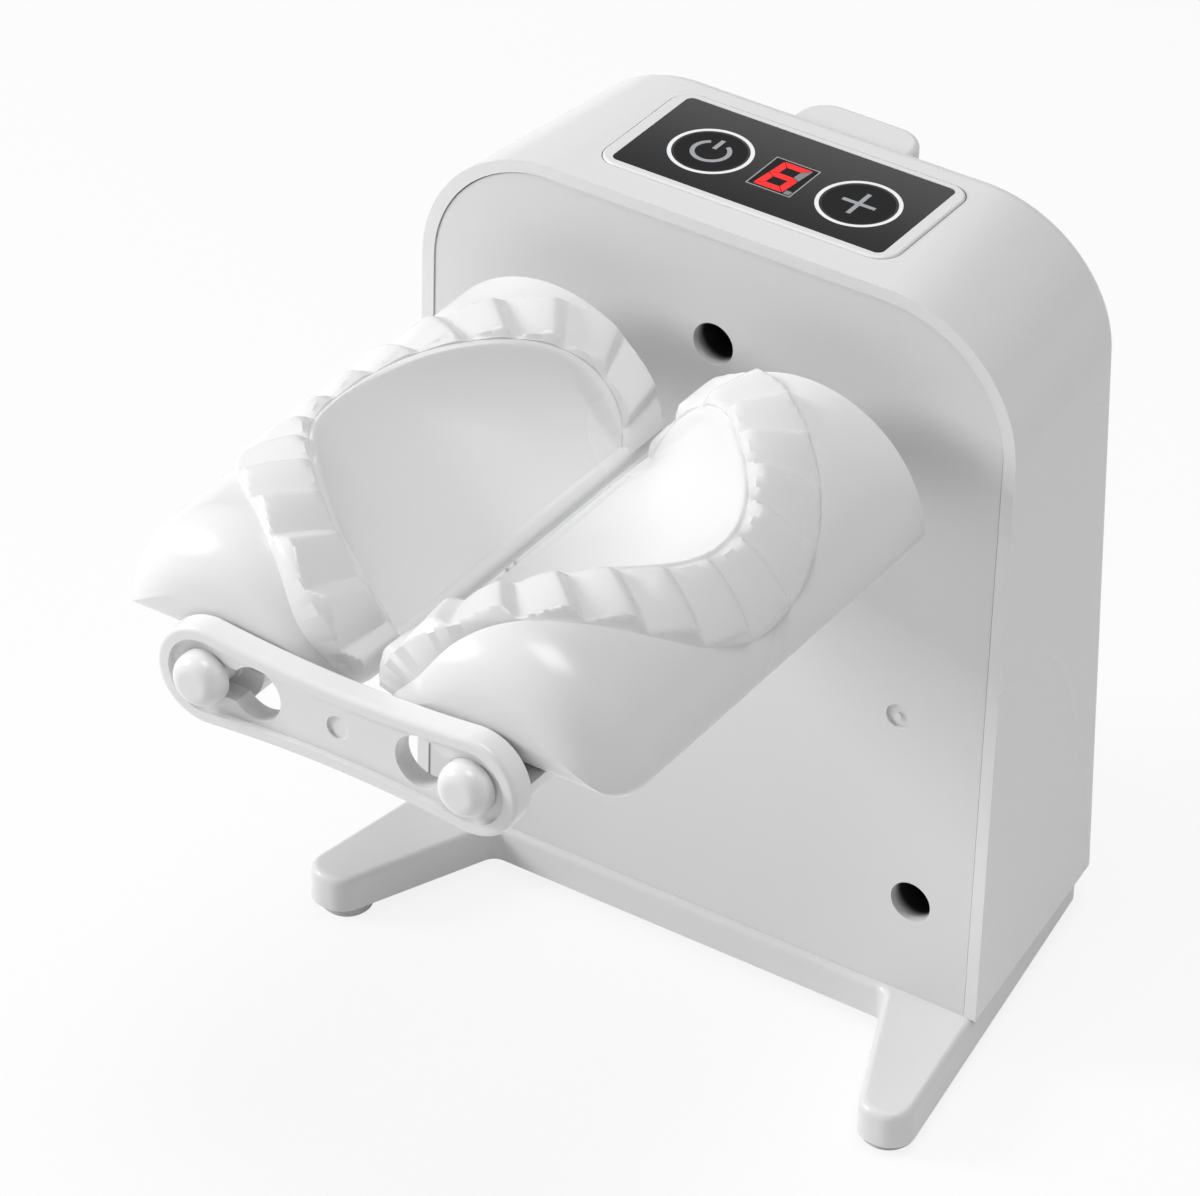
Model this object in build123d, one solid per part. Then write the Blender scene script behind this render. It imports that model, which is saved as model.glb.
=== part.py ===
from build123d import *
import math
import os

# Electric dumpling maker, millimetres, +Z up, standing on four rubber pads at Z = 0.
# The two mould rollers point forward, along -Y. X = 0 is the plane of symmetry.
# Depths are measured backward from the front rim of the housing, heights from the top of the base.

# Housing
HOUSING_W = 100.0
HOUSING_H = 119.1
TOP_DEPTH = 34.3
FOOT_DEPTH = 45.0
TOP_CORNER_R = 21.75
SIDE_TAPER = 0.125
WALL = 2.0
BACK_EDGE_R = 2.5
BULGE_W = 20.0
BULGE_INSET = 2.6
BULGE_DROP = 2.1
BULGE_CORNER_R = 5.0
BULGE_WALL = 1.4
BULGE_EDGE_R = 1.0
BULGE_FOOT = 8.0
SPARE = 20.0

# Front panel
PANEL_T = 2.5
PANEL_RECESS = 0.2
PANEL_FIT = 0.15
SCREW_TOP_DROP = 19.4
SCREW_LOW_INSET = 12.3
SCREW_LOW_Z = 16.7
RECESS_R = 3.35
RECESS_DEPTH = 8.0
BOSS_WALL = 1.25
BOSS_FLOOR = 2.0
SCREW_R = 1.5
SCREW_HEAD_R = 2.9
SCREW_HEAD_H = 2.0
SCREW_BITE = 14.0
SLOT_HALF = 0.35
SCREW_FIT = 0.2
HEAD_SINK = 0.6
SMALL_SCREW_R = 1.2
SMALL_HEAD_R = 2.5
SMALL_HEAD_H = 1.6
HEAD_ROUND = 0.3
GATE_X = 33.7
GATE_Z = 48.6
GATE_R = 2.0

# Base with two feet
BASE_T = 6.0
BASE_HALF = 49.7
BASE_TAPER = 0.155
BASE_BACK_INSET = 1.5
BASE_CORNER_R = 3.0
BASE_EDGE_R = 1.2
BASE_FRONT_LEDGE = 0.8
BASE_SCREW_INSET = 10.0
BASE_SCREW_BACK_INSET = 14.0
BASE_SCREW_DEPTH = 9.0
BASE_SCREW_BACK = 12.0
BASE_BOSS_R = 3.4
BASE_BOSS_H = 10.0
FOOT_REACH = 26.3
FOOT_TIP_R = 3.9
FOOT_ROOT_X = 34.6
FOOT_LEAN = 0.42
FOOT_ROOT_R = 2.5
PAD_R = 4.0
PAD_STAND = 2.0
PAD_SINK = 1.0
PAD_MARGIN = 1.2
PAD_BACK_X = 24.0
PAD_BACK = 10.0

# Roller pair and mould
AXIS_X = 21.6
AXIS_DROP = 32.3
ROLLER_R = 19.7
ROLLER_FLAT = 1.0
ROLLER_BACK = 2.6
ROLLER_FRONT = 88.3
NOSE_R = 9.0
ROLLER_CORNER_R = 3.0
COVER_T = 2.0
COVER_MARGIN = 4.0
BAND_R = 21.35
BAND_VALLEY = 1.2
BAND_ROOT = 3.2
MOULD_CENTRE = 47.0
MOULD_RADIUS = 34.0
BAND_W = 10.5
PLEATS = 15
PLEAT_LAP = 1.08
MOULD_SWEEP = 100.0
MOULD_ANGLE = 40.0
POCKET_LENGTH = 58.0
POCKET_ANGLE = 67.0
POCKET_DEPTH = 11.0
POCKET_AXIS = 45.0
HUB_R = 6.5
HUB_DEPTH = 22.0
HUB_MARGIN = 0.8

# Drive shafts, pins and link bar
SHAFT_R = 4.0
SHAFT_FLAT = 3.2
RUN_FIT = 0.05
SLIDE_FIT = 0.15
PIN_NECK_R = 2.5
PIN_SHANK_R = 3.0
PIN_SHANK = 7.0
HEAD_R = 4.0
HEAD_RIM = 1.2
FRONT_REACH = 95.5
BAR_GAP = 0.3
BAR_T = 4.2
BAR_END_R = 7.7
BAR_WAIST = 6.5
BAR_RIM = 2.0
BAR_RECESS = 1.0
KEY_X = 13.4
KEY_R = 4.1
BAR_EDGE_R = 0.8
DIMPLE_R = 1.8
DIMPLE_DEPTH = 0.4

# Gear train
MODULE = 0.9
DRIVE_TEETH = 24
SMALL_TEETH = 12
ADDENDUM = 0.9
DEDENDUM = 1.15
PRESSURE = 22.0
BACKLASH = 0.16
GEAR_DEPTH = 4.5
GEAR_FACE = 5.0
GEAR_HUB = 1.2
GEAR_HUB_WALL = 2.0
SHAFT_TAIL = 3.0
PIN_TIP = 0.8
IDLER_PIN_R = 1.5
PINION_X = 3.0
CARRIER_DEPTH = 11.0
CARRIER_T = 2.0
CARRIER_BELOW = 24.8
CARRIER_ABOVE = 7.8
CARRIER_MARGIN = 4.0
CARRIER_CORNER_R = 4.0
POST_X = 37.0
POST_R = 3.2
BUSH_WALL = 1.5
BUSH_FLANGE = 1.2
BUSH_T = 1.0
GEARBOX_R = 10.0
GEARBOX_T = 10.0
OUTPUT_R = 2.0
OUTPUT_SEAT = 2.0
OUTPUT_FIT = 1.0
MOTOR_GAP = 0.3
MOTOR_W = 15.1
MOTOR_H = 20.1
MOTOR_EDGE = 1.2

# Battery and electronics
CELL_R = 9.2
CELL_L = 65.0
CELL_CAP_R = 3.0
CELL_CAP = 0.8
CELL_EDGE_R = 0.8
CELL_GAP = 0.8
CRADLE_FIT = 2.6
CRADLE_GAP = 0.8
CRADLE_WALL = 2.0
BOARD_T = 1.6
BOARD_DEPTH = 6.5
BOARD_HALF = 26.0
BOARD_H = 17.0
BOARD_DROP = 3.0
BOARD_POST_R = 2.8
CHIP_W = 10.0
CHIP_T = 1.6
COIL_X = 12.0
COIL_W = 6.0
COIL_T = 3.5
CAPACITOR_X = 12.0
CAPACITOR_R = 2.5
CAPACITOR_L = 7.0
PORT_W = 8.94
PORT_H = 3.26
PORT_L = 7.3
PORT_Z = 9.0
PORT_WALL = 0.4
PORT_FIT = 0.15
PORT_INSET = 0.3
PORT_TONGUE_W = 6.6
PORT_TONGUE_T = 0.7
PORT_TONGUE_INSET = 1.2
CHARGE_BOARD_W = 16.0
CHARGE_BOARD_INSET = 2.4
REST_MARGIN = 1.0
REST_INSET = 0.4

# Touch panel on the top face
GLASS_W = 45.1
GLASS_D = 21.1
GLASS_T = 1.5
GLASS_R = 1.2
TOUCH_CENTRE = 17.55
FRAME_W = 49.2
FRAME_D = 23.7
FRAME_R = 3.5
FRAME_PROUD = 0.25
FRAME_EDGE_R = 0.4
FRAME_SEAM = 0.15
FLANGE = 1.6
FLANGE_T = 1.4
LEDGE = 1.2
DISPLAY_W = 12.0
DISPLAY_D = 17.0
DISPLAY_H = 3.0
KEY_PAD_X = 13.5
KEY_PAD_R = 6.0
BOARD_FIT = 0.3

# Places worked out from the sizes above
FRONT_Y = (FRONT_REACH - FOOT_DEPTH) / 2
BASE_TOP = PAD_STAND + BASE_T
BACK_SLOPE = (FOOT_DEPTH - TOP_DEPTH) / HOUSING_H
AXIS_Z = HOUSING_H - AXIS_DROP
BULGE_DEPTH = FOOT_DEPTH - BULGE_INSET
SCREW_LOW_X = HOUSING_W / 2 - SCREW_LOW_INSET
SCREW_TOP_Z = HOUSING_H - SCREW_TOP_DROP
BULGE_TOP = HOUSING_H - BULGE_DROP
CARRIER_LOW = AXIS_Z - CARRIER_BELOW
CARRIER_HIGH = AXIS_Z + CARRIER_ABOVE
CARRIER_HALF = POST_X + CARRIER_MARGIN
GEAR_R = MODULE * DRIVE_TEETH / 2
SMALL_R = MODULE * SMALL_TEETH / 2
IDLER_X = AXIS_X - GEAR_R - SMALL_R
PINION_Z = AXIS_Z - math.sqrt((2 * SMALL_R) ** 2 - (IDLER_X - PINION_X) ** 2)
BOSS_R = RECESS_R + BOSS_WALL
CELL_Z = SCREW_LOW_Z + BOSS_R + CELL_GAP + CELL_R
PORT_MOUTH = FOOT_DEPTH - BACK_SLOPE * PORT_Z - PORT_INSET
CELL_DEPTH = PORT_MOUTH - PORT_L + REST_INSET - CRADLE_GAP - CRADLE_WALL - CELL_R
CRADLE_HALF = HOUSING_W / 2 - BASE_SCREW_BACK_INSET - BASE_BOSS_R - CRADLE_FIT
BOARD_HIGH = CARRIER_LOW - BOARD_DROP
BOARD_LOW = BOARD_HIGH - BOARD_H
BAR_BACK = ROLLER_FRONT + BAR_GAP
BAR_FRONT = BAR_BACK + BAR_T
HEAD_BACK = BAR_FRONT - BAR_RECESS + BAR_GAP
BOSS_END = RECESS_DEPTH + BOSS_FLOOR
HUB_END = ROLLER_FRONT - HUB_MARGIN


def back_depth(height, inset=0.0):
    """Depth of the slanted back face at a height."""
    return FOOT_DEPTH - BACK_SLOPE * height - inset


def block(x0, x1, d0, d1, z0, z1):
    """Box between two widths, two depths and two heights."""
    size = Box(x1 - x0, d1 - d0, z1 - z0)
    return Pos((x0 + x1) / 2, FRONT_Y + (d0 + d1) / 2, BASE_TOP + (z0 + z1) / 2) * size


def rod(radius, x, z, d0, d1):
    """Round bar along the depth."""
    bar = Cylinder(radius, d1 - d0, align=(Align.CENTER, Align.CENTER, Align.MIN))
    return Pos(x, FRONT_Y + d0, BASE_TOP + z) * Rot(-90, 0, 0) * bar


def post(radius, x, depth, z0, z1):
    """Round bar along the height."""
    bar = Cylinder(radius, z1 - z0, align=(Align.CENTER, Align.CENTER, Align.MIN))
    return Pos(x, FRONT_Y + depth, BASE_TOP + z0) * bar


def front_plane(depth, x=0.0, z=0.0):
    """Plane facing forward, local x along X and local y along Z."""
    return Plane(origin=(x, FRONT_Y + depth, BASE_TOP + z), x_dir=(1, 0, 0), z_dir=(0, -1, 0))


def level_plane(height, depth=0.0):
    """Plane facing up at a height, local x along X and local y along the depth."""
    return Plane(origin=(0, FRONT_Y + depth, BASE_TOP + height))


# Housing

def shell_section(depth, inset, bottom):
    """Front outline of the housing at a depth: straight sides and two round top corners."""
    half = HOUSING_W / 2 - SIDE_TAPER * depth - inset
    top = HOUSING_H - inset
    radius = TOP_CORNER_R - inset
    right = Line((half, bottom), (half, top - radius))
    right_arc = RadiusArc(right @ 1, (half - radius, top), -radius)
    roof = Line(right_arc @ 1, (radius - half, top))
    left_arc = RadiusArc(roof @ 1, (-half, top - radius), -radius)
    left = Line(left_arc @ 1, (-half, bottom))
    floor = Line(left @ 1, right @ 0)
    return front_plane(depth) * make_face([right, right_arc, roof, left_arc, left, floor])


def tapered_block(d0, d1, inset, bottom):
    """Solid between two depths of the tapering housing outline."""
    return loft([shell_section(d0, inset, bottom), shell_section(d1, inset, bottom)], ruled=True)


def behind_back(inset):
    """Wedge of space behind the slanted back face."""
    low = -SPARE
    high = HOUSING_H + SPARE
    far = FOOT_DEPTH + 2 * SPARE
    outline = Polyline(
        (FRONT_Y + back_depth(low, inset), BASE_TOP + low),
        (FRONT_Y + far, BASE_TOP + low),
        (FRONT_Y + far, BASE_TOP + high),
        (FRONT_Y + back_depth(high, inset), BASE_TOP + high),
        close=True,
    )
    return extrude(Plane.YZ * make_face(outline), HOUSING_W, both=True)


def bulge(inset):
    """Upright tongue on the back that makes room for the motor."""
    start = TOP_DEPTH - 3 * BULGE_CORNER_R
    back = BULGE_DEPTH - inset
    profile = Rectangle(BULGE_W - 2 * inset, back - start)
    low = BULGE_INSET / BACK_SLOPE - BULGE_FOOT
    solid = extrude(level_plane(low, (start + back) / 2) * profile, BULGE_TOP - inset - low)
    edges = solid.edges().filter_by(Axis.Z).group_by(Axis.Y)[-1]
    solid = fillet(edges, BULGE_CORNER_R - inset)
    top = solid.faces().sort_by(Axis.Z)[-1]
    return fillet(top.edges().group_by(Axis.Y)[-1], BULGE_EDGE_R) if inset == 0 else solid


def screw_places():
    """Width and height of the three panel screws."""
    return [(0.0, SCREW_TOP_Z), (-SCREW_LOW_X, SCREW_LOW_Z), (SCREW_LOW_X, SCREW_LOW_Z)]


def base_screw_places():
    """Width and depth of the four base screws."""
    front = (HOUSING_W / 2 - BASE_SCREW_INSET, BASE_SCREW_DEPTH)
    back = (HOUSING_W / 2 - BASE_SCREW_BACK_INSET, FOOT_DEPTH - BASE_SCREW_BACK)
    return [(side * x, depth) for side in (-1, 1) for x, depth in (front, back)]


def on_back(edge):
    """True for an edge of the slanted back face."""
    middle = edge.center()
    return abs(middle.Y - FRONT_Y - back_depth(middle.Z - BASE_TOP)) < RUN_FIT


def rear_housing():
    outer = tapered_block(0, FOOT_DEPTH + 8, 0, 0) - behind_back(0)
    rim = outer.edges().filter_by(on_back)
    outer = fillet(rim.filter_by(lambda e: e.center().Z > BASE_TOP + 1), BACK_EDGE_R)
    outer += bulge(0)
    inner = tapered_block(-1, FOOT_DEPTH + 8, WALL, -1) - behind_back(WALL)
    inner += bulge(BULGE_WALL)
    body = outer - inner
    for x, z in screw_places():
        depth = BULGE_DEPTH if x == 0 else back_depth(z)
        standoff = rod(BOSS_R, x, z, BOSS_END, depth - BULGE_WALL / 2)
        body += standoff - rod(SCREW_R, x, z, BOSS_END - 1, BOSS_END + SCREW_BITE)
    for x, d in base_screw_places():
        wall = math.copysign(HOUSING_W / 2 - SIDE_TAPER * d - WALL / 2, x)
        web = block(min(x, wall), max(x, wall), d - WALL / 2, d + WALL / 2, 0, BASE_BOSS_H)
        boss = post(BASE_BOSS_R, x, d, 0, BASE_BOSS_H) + web
        body += boss - post(SCREW_R, x, d, -1, BASE_BOSS_H - WALL)
    seam_w = FRAME_W + 2 * FRAME_SEAM
    seam_d = FRAME_D + 2 * FRAME_SEAM
    window = RectangleRounded(seam_w, seam_d, FRAME_R + FRAME_SEAM)
    body -= extrude(level_plane(HOUSING_H - WALL - 1, TOUCH_CENTRE) * window, WALL + 5)
    port = SlotOverall(PORT_W + 2 * PORT_FIT, PORT_H + 2 * PORT_FIT)
    body -= extrude(front_plane(FOOT_DEPTH + WALL, 0, PORT_Z) * port, PORT_L + 2 * WALL)
    return body


# Front panel

def panel_posts():
    """Width and height of the four posts that carry the gear carrier."""
    low = CARRIER_LOW + CARRIER_MARGIN
    high = CARRIER_HIGH - CARRIER_MARGIN
    return [(side * POST_X, z) for side in (-1, 1) for z in (low, high)]


def front_panel():
    start = PANEL_RECESS
    panel = tapered_block(start, start + PANEL_T, WALL + PANEL_FIT, 0)
    for x, z in screw_places():
        panel += rod(BOSS_R, x, z, start + PANEL_T / 2, BOSS_END)
        panel -= rod(RECESS_R, x, z, -1, RECESS_DEPTH)
        panel -= rod(SCREW_R + SCREW_FIT, x, z, 0, BOSS_END + 1)
    for x, z in panel_posts():
        panel += rod(POST_R, x, z, start + PANEL_T / 2, CARRIER_DEPTH)
        panel -= rod(SMALL_SCREW_R, x, z, start + PANEL_T, CARRIER_DEPTH + 1)
    for x, z in board_posts():
        panel += rod(BOARD_POST_R, x, z, start + PANEL_T / 2, BOARD_DEPTH)
    for side in (-1, 1):
        panel -= rod(SHAFT_R + RUN_FIT + BUSH_WALL, side * AXIS_X, AXIS_Z, -1, start + PANEL_T + 1)
        dimple = rod(GATE_R, side * GATE_X, GATE_Z, start - 1, start + 0.5)
        panel -= dimple - rod(GATE_R / 4, side * GATE_X, GATE_Z, start + 0.1, start + 0.5)
    return panel


def flanged_bush(x, depth, length, flange_depth):
    """Sleeve with a flange, bored for the drive shaft."""
    radius = SHAFT_R + RUN_FIT + BUSH_WALL
    bush = rod(radius, x, AXIS_Z, depth, depth + length)
    bush += rod(radius + BUSH_FLANGE, x, AXIS_Z, flange_depth, flange_depth + BUSH_T)
    return bush - rod(SHAFT_R + RUN_FIT, x, AXIS_Z, depth - 3, depth + length + 3)


def panel_bushes():
    start = PANEL_RECESS
    flange = start + PANEL_T
    return [flanged_bush(side * AXIS_X, start, PANEL_T + BUSH_T / 2, flange) for side in (-1, 1)]


def carrier_bushes():
    flange = CARRIER_DEPTH + CARRIER_T
    length = CARRIER_T + BUSH_T / 2
    return [flanged_bush(side * AXIS_X, CARRIER_DEPTH, length, flange) for side in (-1, 1)]


def screw(x, z, head_depth, length, radius=SCREW_R, head_r=SCREW_HEAD_R, head_h=SCREW_HEAD_H):
    """Pan-head screw along the depth, its head towards the front."""
    head = rod(head_r, x, z, head_depth - head_h, head_depth)
    head = fillet(head.edges().sort_by(Axis.Y)[0], head_h * HEAD_ROUND)
    top = head_depth - head_h
    head -= block(x - head_r / 2, x + head_r / 2, top - 1, top + head_h / 2, z - SLOT_HALF, z + SLOT_HALF)
    return head + rod(radius, x, z, head_depth, head_depth + length)


def panel_screws():
    return [screw(x, z, RECESS_DEPTH, BOSS_FLOOR + SCREW_BITE - 2) for x, z in screw_places()]


# Base

def outer_x(depth):
    """Half-width of the base at a depth."""
    return BASE_HALF - BASE_TAPER * depth


def inner_x(depth):
    """Distance from the middle to the inner side of a foot at a depth."""
    return FOOT_ROOT_X - FOOT_LEAN * depth


def base_outline():
    """Plan of the base: tapering block with two forward feet, left and right alike."""
    back = FOOT_DEPTH - BASE_BACK_INSET
    right = [
        (outer_x(back), back),
        (outer_x(-FOOT_REACH), -FOOT_REACH),
        (inner_x(-FOOT_REACH), -FOOT_REACH),
        (inner_x(-BASE_FRONT_LEDGE), -BASE_FRONT_LEDGE),
    ]
    left = [(-x, depth) for x, depth in reversed(right)]
    return make_face(Polyline(*right, *left, close=True))


def uprights_at(solid, depth):
    """Upright edges of a solid at a depth."""
    edges = solid.edges().filter_by(Axis.Z)
    return edges.filter_by(lambda e: abs(e.center().Y - FRONT_Y - depth) < 0.1)


def base_plate():
    plate = extrude(level_plane(-BASE_T) * base_outline(), BASE_T)
    plate = fillet(uprights_at(plate, -FOOT_REACH), FOOT_TIP_R)
    plate = fillet(uprights_at(plate, -BASE_FRONT_LEDGE), FOOT_ROOT_R)
    plate = fillet(uprights_at(plate, FOOT_DEPTH - BASE_BACK_INSET), BASE_CORNER_R)
    rim = plate.faces().sort_by(Axis.Z)[-1].outer_wire().edges()
    rim = rim.filter_by(lambda e: e.center().Y < FRONT_Y)
    plate = fillet(rim, BASE_EDGE_R)
    for x, d in pad_places():
        plate -= post(PAD_R, x, d, -BASE_T - 1, PAD_SINK - BASE_T)
    seat = -BASE_T + SCREW_HEAD_H + HEAD_SINK
    for x, d in base_screw_places():
        plate -= post(SCREW_R + SCREW_FIT, x, d, -BASE_T - 1, 1)
        plate -= post(SCREW_HEAD_R + SCREW_FIT, x, d, -BASE_T - 1, seat)
    return plate


def pad_places():
    """Width and depth of the four rubber pads."""
    tip = -FOOT_REACH + FOOT_TIP_R + PAD_MARGIN
    front = ((outer_x(tip) + inner_x(tip)) / 2, tip)
    back = (HOUSING_W / 2 - PAD_BACK_X, FOOT_DEPTH - PAD_BACK)
    return [(side * x, depth) for side in (-1, 1) for x, depth in (front, back)]


def rubber_pads():
    pads = []
    for x, d in pad_places():
        pad = post(PAD_R, x, d, -BASE_T - PAD_STAND, -BASE_T + PAD_SINK)
        pads.append(chamfer(pad.edges().sort_by(Axis.Z)[0], 0.5))
    return pads


def base_screws():
    screws = []
    seat = -BASE_T + SCREW_HEAD_H + HEAD_SINK
    half = SCREW_HEAD_R / 2
    floor = seat - SCREW_HEAD_H / 2
    for x, d in base_screw_places():
        head = post(SCREW_HEAD_R, x, d, seat - SCREW_HEAD_H, seat)
        head -= block(x - half, x + half, d - SLOT_HALF, d + SLOT_HALF, -BASE_T - 1, floor)
        screws.append(head + post(SCREW_R, x, d, seat, BASE_BOSS_H - WALL - 1))
    return screws


# Rollers

# The pieces of a roller are made with its axis at height 0, and then raised to it.

RAISE = Pos(0, 0, AXIS_Z)


def roller_plane(side, angle, depth, radius):
    """Plane on the roller surface: local z points outward, local y along the depth."""
    turn = math.radians(angle)
    out = Vector(-side * math.cos(turn), 0, math.sin(turn))
    origin = Vector(side * AXIS_X, FRONT_Y + depth, BASE_TOP) + out * radius
    across = Vector(0, 1, 0).cross(out)
    return Plane(origin=origin, x_dir=across, z_dir=out)


def mould_point(turn):
    """Angle about the roller and depth of a point on the mould's ring, from its turn about the ring."""
    angle = MOULD_ANGLE + math.degrees(MOULD_RADIUS * math.cos(turn) / ROLLER_R)
    return angle, -MOULD_CENTRE + MOULD_RADIUS * math.sin(turn)


def pleat(side, turn, length):
    """One gabled pleat of the sealing band, across the ring at a turn about it."""
    angle, depth = mould_point(turn)
    plane = roller_plane(side, angle, depth, 0)
    half = length / 2
    ridge = BAND_R
    valley = BAND_R - BAND_VALLEY
    root = ROLLER_R - BAND_ROOT
    corners = [(-half, root), (half, root), (half, valley), (0, ridge), (-half, valley)]
    gable = Plane.XZ * make_face(Polyline(*corners, close=True))
    bar = extrude(gable, BAND_W / 2, both=True)
    heading = math.degrees(turn)
    sign = -1 if side > 0 else 1
    return plane * Rot(0, 0, sign * (90 - heading) + 90) * bar


def d_section(inset):
    """Half-round section of a roller about its axis, flat side down."""
    radius = ROLLER_R - inset
    low = inset - ROLLER_FLAT
    half = math.sqrt(radius ** 2 - low ** 2)
    bow = ThreePointArc((half, low), (0, radius), (-half, low))
    return make_face([bow, Line((-half, low), (half, low))])


def pocket(side):
    """Barrel-shaped cutter that leaves the bowl of the mould."""
    reach = POCKET_AXIS - (ROLLER_R - POCKET_DEPTH)
    end = POCKET_AXIS - ROLLER_R
    half = POCKET_LENGTH / 2
    bow = ThreePointArc((end, -half), (reach, 0), (end, half))
    rim = Polyline((end, half), (0, half), (0, -half), (end, -half))
    barrel = revolve(make_face([bow, rim]), Axis.Y)
    plane = roller_plane(side, POCKET_ANGLE, -MOULD_CENTRE, POCKET_AXIS)
    return plane * barrel


def roller(side):
    """Half-drum with a rounded nose, the mould's bowl and its pleated band."""
    place = front_plane(-ROLLER_BACK, side * AXIS_X)
    body = extrude(place * d_section(0), ROLLER_FRONT - ROLLER_BACK)
    low = BASE_TOP - ROLLER_FLAT
    corners = body.edges().filter_by(Axis.Y).filter_by(lambda e: e.center().Z < low + RUN_FIT)
    body = fillet(corners, ROLLER_CORNER_R)
    body = fillet(body.faces().sort_by(Axis.Y)[0].edges(), NOSE_R)
    arc = 2 * MOULD_SWEEP / PLEATS
    for i in range(PLEATS):
        turn = math.radians(arc * (i + 0.5) - MOULD_SWEEP)
        body += pleat(side, turn, MOULD_RADIUS * math.radians(arc) * PLEAT_LAP)
    body &= rod(BAND_R, side * AXIS_X, 0, -ROLLER_FRONT, -ROLLER_BACK)
    body -= pocket(side)
    body -= cover_recess(side)
    hub = rod(HUB_R, side * AXIS_X, 0, -HUB_END, -ROLLER_BACK + 1)
    body -= hub & below_flat(side)
    return RAISE * (body - hub_bores(side))


def cover_recess(side):
    """Block of space that the cover plate takes in the flat side of a roller."""
    half = math.sqrt(ROLLER_R ** 2 - ROLLER_FLAT ** 2) - COVER_MARGIN
    x = side * AXIS_X
    front = COVER_MARGIN + NOSE_R - ROLLER_FRONT
    return block(x - half, x + half, front, -ROLLER_BACK, -ROLLER_FLAT, COVER_T - ROLLER_FLAT)


def below_flat(side):
    """Space under the flat side of a roller."""
    x = side * AXIS_X
    return block(x - ROLLER_R, x + ROLLER_R, -ROLLER_FRONT, 0, -ROLLER_FLAT - ROLLER_R, -ROLLER_FLAT)


def hub_bores(side):
    """Socket for the drive shaft and seat for the end pin."""
    seat = rod(PIN_SHANK_R, side * AXIS_X, 0, -ROLLER_FRONT - 1, -ROLLER_FRONT + PIN_SHANK)
    return shaft_end(side, SLIDE_FIT, 1) + seat


def roller_cover(side):
    """Cover plate in the flat side of a roller, with the lower half of the hub under it."""
    hub = rod(HUB_R, side * AXIS_X, 0, -HUB_END, -ROLLER_BACK) & below_flat(side)
    return RAISE * (cover_recess(side) + hub - hub_bores(side))


def shaft_end(side, fit, extra):
    """Forward end of a drive shaft with one flat, or the socket for it."""
    tip = -ROLLER_BACK - HUB_DEPTH - fit
    end = rod(SHAFT_R + fit, side * AXIS_X, 0, tip, -ROLLER_BACK + extra)
    top = SHAFT_FLAT + fit
    reach = 2 * SHAFT_R
    x = side * AXIS_X
    return end - block(x - reach, x + reach, tip - 1, -ROLLER_BACK + extra + 1, top, top + reach)


def end_pin(side):
    """Mushroom-headed pin in the nose of a roller."""
    shank = rod(PIN_SHANK_R, side * AXIS_X, 0, -ROLLER_FRONT, -ROLLER_FRONT + PIN_SHANK)
    neck = rod(PIN_NECK_R, side * AXIS_X, 0, -HEAD_BACK, -ROLLER_FRONT)
    head = rod(HEAD_R, side * AXIS_X, 0, -FRONT_REACH, -HEAD_BACK)
    head = fillet(head.edges().sort_by(Axis.Y)[0], FRONT_REACH - HEAD_BACK - HEAD_RIM)
    return RAISE * (shank + neck + head)


# Link bar

def bar_outline(inset):
    """Dog-bone outline of the link bar: round ends joined by two shallow tangent arcs."""
    radius = BAR_END_R - inset
    waist = BAR_WAIST - inset
    bend = (AXIS_X ** 2 + waist ** 2 - radius ** 2) / (2 * (radius - waist))
    tx = AXIS_X * (1 - radius / (radius + bend))
    tz = (waist + bend) * radius / (radius + bend)
    top = ThreePointArc((-tx, tz), (0, waist), (tx, tz))
    right = ThreePointArc((tx, tz), (AXIS_X + radius, 0), (tx, -tz))
    low = ThreePointArc((tx, -tz), (0, -waist), (-tx, -tz))
    left = ThreePointArc((-tx, -tz), (-AXIS_X - radius, 0), (-tx, tz))
    return make_face([top, right, low, left])


def link_bar():
    bar = extrude(front_plane(-BAR_BACK, 0, AXIS_Z) * bar_outline(0), BAR_T)
    front = bar.faces().sort_by(Axis.Y)[0]
    back = bar.faces().sort_by(Axis.Y)[-1]
    bar = fillet(front.edges() + back.edges(), BAR_EDGE_R)
    floor = -BAR_FRONT + BAR_RECESS
    bar -= extrude(front_plane(floor, 0, AXIS_Z) * bar_outline(BAR_RIM), BAR_RECESS + 1)
    slot = PIN_NECK_R + RUN_FIT
    for side in (-1, 1):
        bar -= rod(KEY_R, side * KEY_X, AXIS_Z, -BAR_FRONT - 1, -BAR_BACK + 1)
        bar -= rod(slot, side * AXIS_X, AXIS_Z, -BAR_FRONT - 1, -BAR_BACK + 1)
        low = min(side * KEY_X, side * AXIS_X)
        high = max(side * KEY_X, side * AXIS_X)
        bar -= block(low, high, -BAR_FRONT - 1, -BAR_BACK + 1, AXIS_Z - slot, AXIS_Z + slot)
    return bar - rod(DIMPLE_R, 0, AXIS_Z, floor - 1, floor + DIMPLE_DEPTH)


# Gear train

def involute_angle(radius, base):
    """Angle swept by the involute of a base circle out to a radius."""
    ratio = math.sqrt(max(0.0, (radius / base) ** 2 - 1))
    return ratio - math.atan(ratio)


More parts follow.
